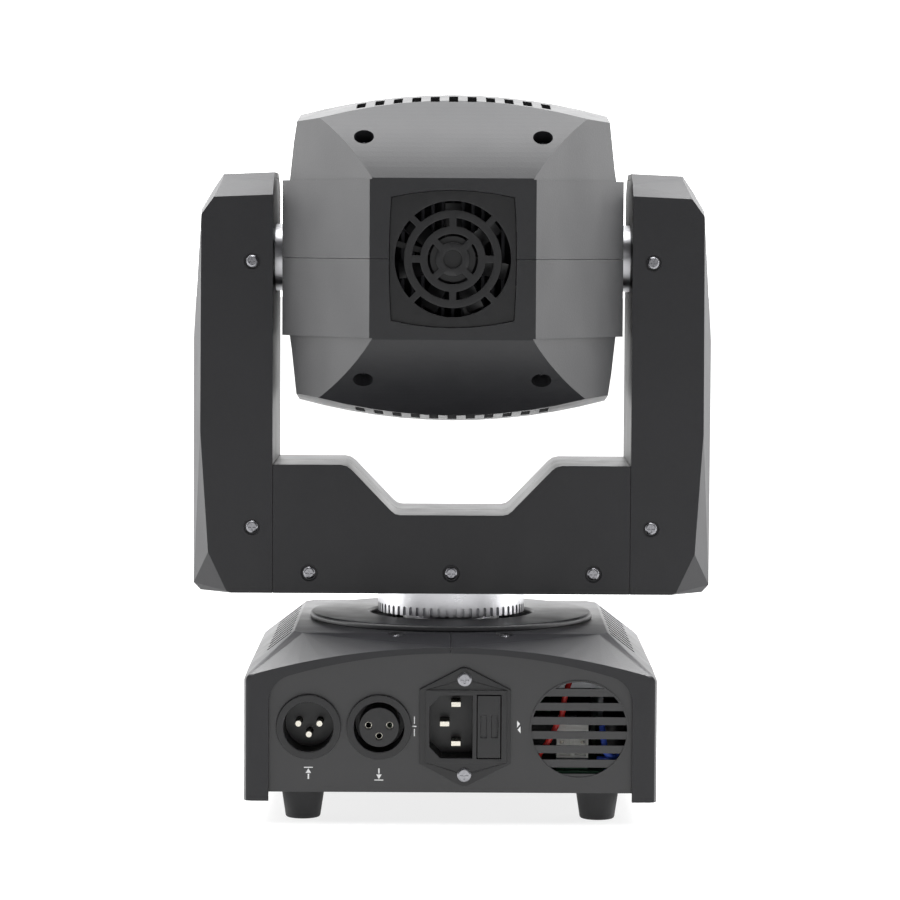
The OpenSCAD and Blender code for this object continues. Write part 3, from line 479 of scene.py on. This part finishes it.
wire_entries = 2
shell_blank = 0.01
bpy.ops.object.select_all(action="DESELECT")
bpy.ops.mesh.primitive_grid_add(x_subdivisions=wire_entries, y_subdivisions=1, size=shell_blank,
                                rotation=(math.pi / 2, 0, 0),
                                location=(connector_x, -0.073, block_top - 0.0103))
shell = bpy.context.object
shell.scale = (connector_wide / shell_blank, 0.93, 1)
bpy.ops.object.transform_apply(location=True, rotation=True, scale=True)
bpy.ops.object.mode_set(mode="EDIT")
bpy.ops.mesh.select_all(action="SELECT")
bpy.ops.mesh.inset(thickness=0.0008, use_individual=True)
bpy.ops.mesh.extrude_region_move(TRANSFORM_OT_translate={"value": (0, 0.0015, 0)})
bpy.ops.object.mode_set(mode="OBJECT")
solid = shell.modifiers.new("body", "SOLIDIFY")
solid.thickness = 0.0003
solid.offset = 0
rounded = shell.modifiers.new("edges", "BEVEL")
rounded.width = 0.0001
apply_modifiers(shell)
settle("lead_connector_shell", "base", shell_finish, 30)

cap_tall = 0.0054
bpy.ops.object.select_all(action="DESELECT")
bpy.ops.mesh.primitive_cube_add(size=1, location=(connector_x, -0.0721, block_top - cap_tall / 2))
bpy.context.object.scale = (connector_wide, 0.0018, cap_tall)
bpy.ops.object.transform_apply(location=False, rotation=False, scale=True)
rounded = bpy.context.object.modifiers.new("edges", "BEVEL")
rounded.width = 0.0004
rounded.segments = 2
apply_modifiers(bpy.context.object)
settle("lead_connector_cap", "base", shell_finish, 30)

tab_z = block_top - 0.0082
for i, x in enumerate((0.04665, 0.0553)):
    bpy.ops.object.select_all(action="DESELECT")
    bpy.ops.mesh.primitive_cylinder_add(vertices=20, radius=0.0009, depth=0.0012,
                                        location=(x, -0.0741, tab_z))
    rounded = bpy.context.object.modifiers.new("edges", "BEVEL")
    rounded.width = 0.0002
    apply_modifiers(bpy.context.object)
    settle(f"solder_tab_{i + 1}", "base", contact_finish, 30)


def insulated(name, dark, light):
    material, surface, place = new_finish(name)
    dust = place.noise(0.002, 4)
    plug(surface, Base_Color=dust.mixed(dark, light), Roughness=dust * 0.15 + 0.35)
    return material


red_finish = insulated("red_insulation", (0.42, 0.01, 0.01), (0.6, 0.03, 0.02))
blue_finish = insulated("blue_insulation", (0.02, 0.05, 0.35), (0.04, 0.1, 0.5))


def wire(name, finish, radius, points):
    """A wire along a smooth curve through points given in millimetres."""
    curve = bpy.data.curves.new(name, "CURVE")
    curve.dimensions = "3D"
    curve.bevel_depth = radius
    curve.bevel_resolution = 3
    curve.resolution_u = 8
    curve.use_fill_caps = True
    spline = curve.splines.new("BEZIER")
    spline.bezier_points.add(len(points) - 1)
    for bend, (x, y, z) in zip(spline.bezier_points, points):
        bend.co = (x / 1000, y / 1000, z / 1000)
        bend.handle_left_type = bend.handle_right_type = "AUTO"
    lead = bpy.data.objects.new(name, curve)
    bpy.context.scene.collection.objects.link(lead)
    select_only(lead)
    bpy.ops.object.convert(target="MESH")
    return settle(name, "base", finish, 40)


wire("red_lead", red_finish, 0.0012,
     [(50.5, -70, 60), (49.1, -73.5, 57), (47.6, -74.5, 51.5), (46.8, -75, 46), (44, -75.5, 40),
      (41.2, -76, 34.4), (37.6, -76, 29.2), (36.5, -73, 24)])
wire("blue_lead", blue_finish, 0.0013,
     [(71, -70, 25), (68, -75, 27.6), (65.5, -76, 29), (64.3, -75, 33.6), (63.5, -72, 40)])
wire("second_blue_lead", blue_finish, 0.0011,
     [(72, -66, 30), (69.5, -74, 28), (66.5, -73, 26.6), (62, -70, 26)])

# ---------------------------------------------------------------- display
# A three-digit LED module behind the tinted window: seven moulded segments a digit, lit to show 128.
digit_glow, surface, place = new_finish("lit_segment")
plug(surface, Base_Color=place.noise(0.002).mixed((0.3, 0.02, 0.02), (0.4, 0.03, 0.03)),
     Emission_Color=(1.0, 0.12, 0.06, 1), Emission_Strength=2.5)
window_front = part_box("display_window")[1][1]
segment_at = {"top": (0, 1, 0), "upper_left": (-0.5, 0.5, 90), "upper_right": (0.5, 0.5, 90),
              "middle": (0, 0, 0), "lower_left": (-0.5, -0.5, 90), "lower_right": (0.5, -0.5, 90),
              "bottom": (0, -1, 0)}
digits = (("upper_right", "lower_right"),
          ("top", "upper_right", "middle", "lower_left", "bottom"),
          tuple(segment_at))
digit_wide, digit_high = 0.0075, 0.0068
segments = []
for i, lit in enumerate(digits):
    for name in lit:
        across, up, turn = segment_at[name]
        bpy.ops.object.select_all(action="DESELECT")
        bpy.ops.mesh.primitive_circle_add(vertices=6, radius=digit_high / 2, fill_type="NGON")
        bar = bpy.context.object
        bar.scale = (0.92, 0.2, 1)
        bpy.ops.object.transform_apply(location=False, rotation=False, scale=True)
        bar.rotation_euler = (math.pi / 2, math.radians(turn), 0)
        bar.location = (-(i - 1) * digit_wide * 1.6 - across * digit_wide, window_front - 0.0022,
                        middle("display_window")[2] + up * digit_high * 0.95)
        bpy.ops.object.transform_apply(location=True, rotation=True, scale=True)
        bpy.ops.object.mode_set(mode="EDIT")
        bpy.ops.mesh.select_all(action="SELECT")
        bpy.ops.mesh.extrude_region_move(TRANSFORM_OT_translate={"value": (0, 0.0003, 0)})
        bpy.ops.object.mode_set(mode="OBJECT")
        segments.append(bar)
join(segments)
settle("display_digits", "base", digit_glow)
